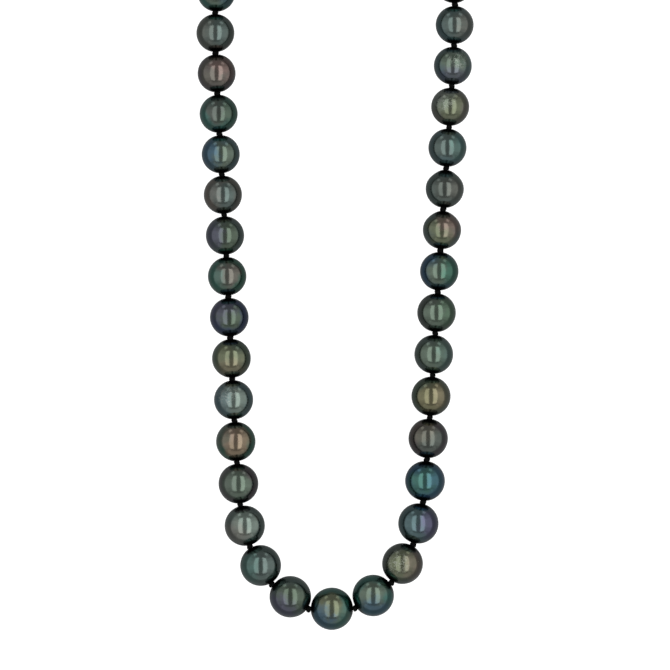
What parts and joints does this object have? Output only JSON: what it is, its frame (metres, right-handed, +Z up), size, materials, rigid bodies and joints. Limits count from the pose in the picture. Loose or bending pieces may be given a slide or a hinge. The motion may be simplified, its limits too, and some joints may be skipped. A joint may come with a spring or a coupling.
{
  "type": "pearl necklace",
  "caption": "Graduated strand of dark round pearls on knotted black silk, closed by a small sprung trigger clasp and laid flat in a loop.",
  "frame": {"origin": "middle of the loop's box, on the surface that the pearls rest on", "axes": "+X from the left arm to the right arm, +Y from the centre pearl to the clasp, +Z up from the surface"},
  "size_m": [0.0718, 0.2082, 0.011],
  "materials": {
    "nacre_green": "high lustre nacre",
    "nacre_teal": "high lustre nacre",
    "nacre_blue": "high lustre nacre",
    "nacre_plum": "high lustre nacre",
    "nacre_bronze": "high lustre nacre",
    "nacre_olive": "high lustre nacre",
    "nacre_slate": "high lustre nacre",
    "nacre_silver": "high lustre nacre",
    "black_silk": "twisted silk, knotted",
    "wrapped_wire": "fine coiled wire",
    "white_metal": "polished",
    "spring_wire": "drawn wire"
  },
  "bodies": {
    "strand_centre": {"pearl_centre": "nacre_teal", "silk_cord": "black_silk"},
    "left_01": {"pearl_left_01": "nacre_green"},
    "left_02": {"pearl_left_02": "nacre_slate"},
    "left_03": {"pearl_left_03": "nacre_silver"},
    "left_04": {"pearl_left_04": "nacre_plum"},
    "left_05": {"pearl_left_05": "nacre_bronze"},
    "left_06": {"pearl_left_06": "nacre_silver"},
    "left_07": {"pearl_left_07": "nacre_olive"},
    "left_08": {"pearl_left_08": "nacre_blue"},
    "left_09": {"pearl_left_09": "nacre_teal"},
    "left_10": {"pearl_left_10": "nacre_green"},
    "left_11": {"pearl_left_11": "nacre_slate"},
    "left_12": {"pearl_left_12": "nacre_blue"},
    "left_13": {"pearl_left_13": "nacre_teal"},
    "left_14": {"pearl_left_14": "nacre_plum"},
    "left_15": {"pearl_left_15": "nacre_green"},
    "left_16": {"pearl_left_16": "nacre_slate"},
    "left_17": {"pearl_left_17": "nacre_olive"},
    "left_18": {"pearl_left_18": "nacre_teal"},
    "left_19": {"pearl_left_19": "nacre_plum"},
    "left_20": {"pearl_left_20": "nacre_green", "gimp_left": "wrapped_wire"},
    "right_01": {"pearl_right_01": "nacre_teal"},
    "right_02": {"pearl_right_02": "nacre_olive"},
    "right_03": {"pearl_right_03": "nacre_blue"},
    "right_04": {"pearl_right_04": "nacre_teal"},
    "right_05": {"pearl_right_05": "nacre_plum"},
    "right_06": {"pearl_right_06": "nacre_bronze"},
    "right_07": {"pearl_right_07": "nacre_green"},
    "right_08": {"pearl_right_08": "nacre_slate"},
    "right_09": {"pearl_right_09": "nacre_teal"},
    "right_10": {"pearl_right_10": "nacre_bronze"},
    "right_11": {"pearl_right_11": "nacre_green"},
    "right_12": {"pearl_right_12": "nacre_slate"},
    "right_13": {"pearl_right_13": "nacre_olive"},
    "right_14": {"pearl_right_14": "nacre_slate"},
    "right_15": {"pearl_right_15": "nacre_blue"},
    "right_16": {"pearl_right_16": "nacre_teal"},
    "right_17": {"pearl_right_17": "nacre_green"},
    "right_18": {"pearl_right_18": "nacre_plum"},
    "right_19": {"pearl_right_19": "nacre_slate"},
    "right_20": {"pearl_right_20": "nacre_olive", "gimp_right": "wrapped_wire"},
    "clasp_ring": {"clasp_ring": "white_metal"},
    "clasp": {"clasp_body": "white_metal", "clasp_pin": "white_metal", "clasp_spring": "spring_wire"},
    "lever": {"clasp_lever": "white_metal"},
    "catch_ring": {"catch_ring": "white_metal"}
  },
  "joints": [
    {"name": "knot_left_01", "type": "hinge", "parent": "strand_centre", "child": "left_01", "pos_m": [-0.00673, -0.0987, 0.00545], "axis": [0, 0, 1], "range_deg": [-3, 14], "deforming": ["silk_cord"]},
    {"name": "knot_left_02", "type": "hinge", "parent": "left_01", "child": "left_02", "pos_m": [-0.01638, -0.09229, 0.00535], "axis": [0, 0, 1], "range_deg": [-12, 64], "deforming": ["silk_cord"]},
    {"name": "knot_left_03", "type": "hinge", "parent": "left_02", "child": "left_03", "pos_m": [-0.02211, -0.08252, 0.00527], "axis": [0, 0, 1], "range_deg": [-20.59, 55.41], "deforming": ["silk_cord"]},
    {"name": "knot_left_04", "type": "hinge", "parent": "left_03", "child": "left_04", "pos_m": [-0.02462, -0.07167, 0.0052], "axis": [0, 0, 1], "range_deg": [-29.19, 46.81], "deforming": ["silk_cord"]},
    {"name": "knot_left_05", "type": "hinge", "parent": "left_04", "child": "left_05", "pos_m": [-0.02542, -0.06072, 0.00515], "axis": [0, 0, -1], "range_deg": [-39.19, 36.81], "deforming": ["silk_cord"]},
    {"name": "knot_left_06", "type": "hinge", "parent": "left_05", "child": "left_06", "pos_m": [-0.02599, -0.04987, 0.0051], "axis": [0, 0, -1], "range_deg": [-34.14, 34.14], "deforming": ["silk_cord"]},
    {"name": "knot_left_07", "type": "hinge", "parent": "left_06", "child": "left_07", "pos_m": [-0.02655, -0.0391, 0.00506], "axis": [0, 0, -1], "range_deg": [-38, 38], "deforming": ["silk_cord"]},
    {"name": "knot_left_08", "type": "hinge", "parent": "left_07", "child": "left_08", "pos_m": [-0.02711, -0.02841, 0.00503], "axis": [0, 0, -1], "range_deg": [-38, 38], "deforming": ["silk_cord"]},
    {"name": "knot_left_09", "type": "hinge", "parent": "left_08", "child": "left_09", "pos_m": [-0.02767, -0.01778, 0.00501], "axis": [0, 0, -1], "range_deg": [-34.07, 34.07], "deforming": ["silk_cord"]},
    {"name": "knot_left_10", "type": "hinge", "parent": "left_09", "child": "left_10", "pos_m": [-0.02822, -0.00719, 0.00499], "axis": [0, 0, -1], "range_deg": [-38, 38], "deforming": ["silk_cord"]},
    {"name": "knot_left_11", "type": "hinge", "parent": "left_10", "child": "left_11", "pos_m": [-0.02878, 0.00336, 0.00497], "axis": [0, 0, -1], "range_deg": [-38, 38], "deforming": ["silk_cord"]},
    {"name": "knot_left_12", "type": "hinge", "parent": "left_11", "child": "left_12", "pos_m": [-0.02933, 0.01388, 0.00496], "axis": [0, 0, -1], "range_deg": [-34.04, 34.04], "deforming": ["silk_cord"]},
    {"name": "knot_left_13", "type": "hinge", "parent": "left_12", "child": "left_13", "pos_m": [-0.02988, 0.02438, 0.00495], "axis": [0, 0, -1], "range_deg": [-38, 38], "deforming": ["silk_cord"]},
    {"name": "knot_left_14", "type": "hinge", "parent": "left_13", "child": "left_14", "pos_m": [-0.03043, 0.03485, 0.00494], "axis": [0, 0, -1], "range_deg": [-38.3, 37.7], "deforming": ["silk_cord"]},
    {"name": "knot_left_15", "type": "hinge", "parent": "left_14", "child": "left_15", "pos_m": [-0.03092, 0.04531, 0.00493], "axis": [0, 0, -1], "range_deg": [-34, 32], "deforming": ["silk_cord"]},
    {"name": "knot_left_16", "type": "hinge", "parent": "left_15", "child": "left_16", "pos_m": [-0.03106, 0.05577, 0.00493], "axis": [0, 0, -1], "range_deg": [-42.53, 33.47], "deforming": ["silk_cord"]},
    {"name": "knot_left_17", "type": "hinge", "parent": "left_16", "child": "left_17", "pos_m": [-0.03038, 0.0662, 0.00492], "axis": [0, 0, -1], "range_deg": [-13, 14], "deforming": ["silk_cord"]},
    {"name": "knot_left_18", "type": "hinge", "parent": "left_17", "child": "left_18", "pos_m": [-0.02827, 0.07642, 0.00492], "axis": [0, 0, -1], "range_deg": [-50.01, 25.99], "deforming": ["silk_cord"]},
    {"name": "knot_left_19", "type": "hinge", "parent": "left_18", "child": "left_19", "pos_m": [-0.02408, 0.08598, 0.00491], "axis": [0, 0, -1], "range_deg": [-54.69, 21.31], "deforming": ["silk_cord"]},
    {"name": "knot_left_20", "type": "hinge", "parent": "left_19", "child": "left_20", "pos_m": [-0.01732, 0.09392, 0.00491], "axis": [0, 0, -1], "range_deg": [-59.93, 16.07], "deforming": ["silk_cord"]},
    {"name": "knot_right_01", "type": "hinge", "parent": "strand_centre", "child": "right_01", "pos_m": [0.00512, -0.09849, 0.00545], "axis": [0, 0, -1], "range_deg": [-4.17, 71.83], "deforming": ["silk_cord"]},
    {"name": "knot_right_02", "type": "hinge", "parent": "right_01", "child": "right_02", "pos_m": [0.01465, -0.09186, 0.00535], "axis": [0, 0, -1], "range_deg": [-12.68, 63.32], "deforming": ["silk_cord"]},
    {"name": "knot_right_03", "type": "hinge", "parent": "right_02", "child": "right_03", "pos_m": [0.02032, -0.08197, 0.00527], "axis": [0, 0, -1], "range_deg": [-21.2, 54.8], "deforming": ["silk_cord"]},
    {"name": "knot_right_04", "type": "hinge", "parent": "right_03", "child": "right_04", "pos_m": [0.02286, -0.07103, 0.0052], "axis": [0, 0, -1], "range_deg": [-29.71, 46.29], "deforming": ["silk_cord"]},
    {"name": "knot_right_05", "type": "hinge", "parent": "right_04", "child": "right_05", "pos_m": [0.02378, -0.05997, 0.00515], "axis": [0, 0, 1], "range_deg": [-38.95, 37.05], "deforming": ["silk_cord"]},
    {"name": "knot_right_06", "type": "hinge", "parent": "right_05", "child": "right_06", "pos_m": [0.0245, -0.049, 0.0051], "axis": [0, 0, 1], "range_deg": [-38, 38], "deforming": ["silk_cord"]},
    {"name": "knot_right_07", "type": "hinge", "parent": "right_06", "child": "right_07", "pos_m": [0.02523, -0.03812, 0.00506], "axis": [0, 0, 1], "range_deg": [-38, 38], "deforming": ["silk_cord"]},
    {"name": "knot_right_08", "type": "hinge", "parent": "right_07", "child": "right_08", "pos_m": [0.02595, -0.0273, 0.00503], "axis": [0, 0, 1], "range_deg": [-38, 38], "deforming": ["silk_cord"]},
    {"name": "knot_right_09", "type": "hinge", "parent": "right_08", "child": "right_09", "pos_m": [0.02666, -0.01654, 0.00501], "axis": [0, 0, 1], "range_deg": [-38, 38], "deforming": ["silk_cord"]},
    {"name": "knot_right_10", "type": "hinge", "parent": "right_09", "child": "right_10", "pos_m": [0.02737, -0.00582, 0.00499], "axis": [0, 0, 1], "range_deg": [-38, 38], "deforming": ["silk_cord"]},
    {"name": "knot_right_11", "type": "hinge", "parent": "right_10", "child": "right_11", "pos_m": [0.02808, 0.00486, 0.00497], "axis": [0, 0, 1], "range_deg": [-38, 38], "deforming": ["silk_cord"]},
    {"name": "knot_right_12", "type": "hinge", "parent": "right_11", "child": "right_12", "pos_m": [0.02879, 0.01551, 0.00496], "axis": [0, 0, 1], "range_deg": [-38, 38], "deforming": ["silk_cord"]},
    {"name": "knot_right_13", "type": "hinge", "parent": "right_12", "child": "right_13", "pos_m": [0.02949, 0.02613, 0.00495], "axis": [0, 0, 1], "range_deg": [-38, 38], "deforming": ["silk_cord"]},
    {"name": "knot_right_14", "type": "hinge", "parent": "right_13", "child": "right_14", "pos_m": [0.0302, 0.03674, 0.00494], "axis": [0, 0, 1], "range_deg": [-38.3, 37.7], "deforming": ["silk_cord"]},
    {"name": "knot_right_15", "type": "hinge", "parent": "right_14", "child": "right_15", "pos_m": [0.03085, 0.04733, 0.00493], "axis": [0, 0, 1], "range_deg": [-39.93, 36.07], "deforming": ["silk_cord"]},
    {"name": "knot_right_16", "type": "hinge", "parent": "right_15", "child": "right_16", "pos_m": [0.03114, 0.05793, 0.00493], "axis": [0, 0, 1], "range_deg": [-42.57, 33.43], "deforming": ["silk_cord"]},
    {"name": "knot_right_17", "type": "hinge", "parent": "right_16", "child": "right_17", "pos_m": [0.03058, 0.0685, 0.00492], "axis": [0, 0, 1], "range_deg": [-46, 30], "deforming": ["silk_cord"]},
    {"name": "knot_right_18", "type": "hinge", "parent": "right_17", "child": "right_18", "pos_m": [0.02856, 0.07889, 0.00492], "axis": [0, 0, 1], "range_deg": [-50.11, 25.89], "deforming": ["silk_cord"]},
    {"name": "knot_right_19", "type": "hinge", "parent": "right_18", "child": "right_19", "pos_m": [0.02441, 0.08861, 0.00491], "axis": [0, 0, 1], "range_deg": [-54.84, 21.16], "deforming": ["silk_cord"]},
    {"name": "knot_right_20", "type": "hinge", "parent": "right_19", "child": "right_20", "pos_m": [0.01762, 0.09671, 0.00491], "axis": [0, 0, 1], "range_deg": [-60.12, 15.88], "deforming": ["silk_cord"]},
    {"name": "clasp_ring_turn", "type": "hinge", "parent": "left_20", "child": "clasp_ring", "pos_m": [-0.00703, 0.09932, 0.00491], "axis": [0, 0, 1], "range_deg": [-20, 20]},
    {"name": "clasp_turn", "type": "hinge", "parent": "clasp_ring", "child": "clasp", "pos_m": [-0.0037, 0.09999, 0.00491], "axis": [0, 0, 1], "range_deg": [-32, 32]},
    {"name": "lever_press", "type": "hinge", "parent": "clasp", "child": "lever", "pos_m": [-0.00074, 0.09901, 0.00491], "axis": [0, 0, 1], "range_deg": [0, 14], "stiffness_Nm_per_rad": 0.0004, "springref_deg": -11.46},
    {"name": "catch_ring_turn", "type": "hinge", "parent": "right_20", "child": "catch_ring", "pos_m": [0.00729, 0.10219, 0.00491], "axis": [0, 0, 1], "range_deg": [-9, 9]}
  ],
  "couplings": [
    {"joint": "knot_left_02", "follows": "knot_left_01", "ratio": -0.8},
    {"joint": "knot_left_03", "follows": "knot_left_01", "ratio": -0.9789},
    {"joint": "knot_left_04", "follows": "knot_left_01", "ratio": 0.7789},
    {"joint": "knot_left_05", "follows": "knot_left_06", "ratio": -0.498},
    {"joint": "knot_left_07", "follows": "knot_left_06", "ratio": -0.502},
    {"joint": "knot_left_08", "follows": "knot_left_09", "ratio": -0.4989},
    {"joint": "knot_left_10", "follows": "knot_left_09", "ratio": -0.5011},
    {"joint": "knot_left_11", "follows": "knot_left_12", "ratio": -0.4994},
    {"joint": "knot_left_13", "follows": "knot_left_12", "ratio": -0.5006},
    {"joint": "knot_left_14", "follows": "knot_left_15", "ratio": -0.5},
    {"joint": "knot_left_16", "follows": "knot_left_15", "ratio": -0.5},
    {"joint": "knot_left_18", "follows": "knot_left_17", "ratio": -1.5},
    {"joint": "knot_left_19", "follows": "knot_left_17", "ratio": -0.1839},
    {"joint": "knot_left_20", "follows": "knot_left_17", "ratio": 0.6839},
    {"joint": "knot_right_01", "follows": "knot_left_01", "ratio": 1},
    {"joint": "knot_right_02", "follows": "knot_left_01", "ratio": -0.8},
    {"joint": "knot_right_03", "follows": "knot_left_01", "ratio": -0.9789},
    {"joint": "knot_right_04", "follows": "knot_left_01", "ratio": 0.7789},
    {"joint": "knot_right_05", "follows": "knot_left_06", "ratio": -0.498},
    {"joint": "knot_right_06", "follows": "knot_left_06", "ratio": 1},
    {"joint": "knot_right_07", "follows": "knot_left_06", "ratio": -0.502},
    {"joint": "knot_right_08", "follows": "knot_left_09", "ratio": -0.4989},
    {"joint": "knot_right_09", "follows": "knot_left_09", "ratio": 1},
    {"joint": "knot_right_10", "follows": "knot_left_09", "ratio": -0.5011},
    {"joint": "knot_right_11", "follows": "knot_left_12", "ratio": -0.4994},
    {"joint": "knot_right_12", "follows": "knot_left_12", "ratio": 1},
    {"joint": "knot_right_13", "follows": "knot_left_12", "ratio": -0.5006},
    {"joint": "knot_right_14", "follows": "knot_left_15", "ratio": -0.5},
    {"joint": "knot_right_15", "follows": "knot_left_15", "ratio": 1},
    {"joint": "knot_right_16", "follows": "knot_left_15", "ratio": -0.5},
    {"joint": "knot_right_17", "follows": "knot_left_17", "ratio": 1},
    {"joint": "knot_right_18", "follows": "knot_left_17", "ratio": -1.5},
    {"joint": "knot_right_19", "follows": "knot_left_17", "ratio": -0.1839},
    {"joint": "knot_right_20", "follows": "knot_left_17", "ratio": 0.6839},
    {"joint": "clasp_turn", "follows": "clasp_ring_turn", "ratio": -1.5477}
  ]
}
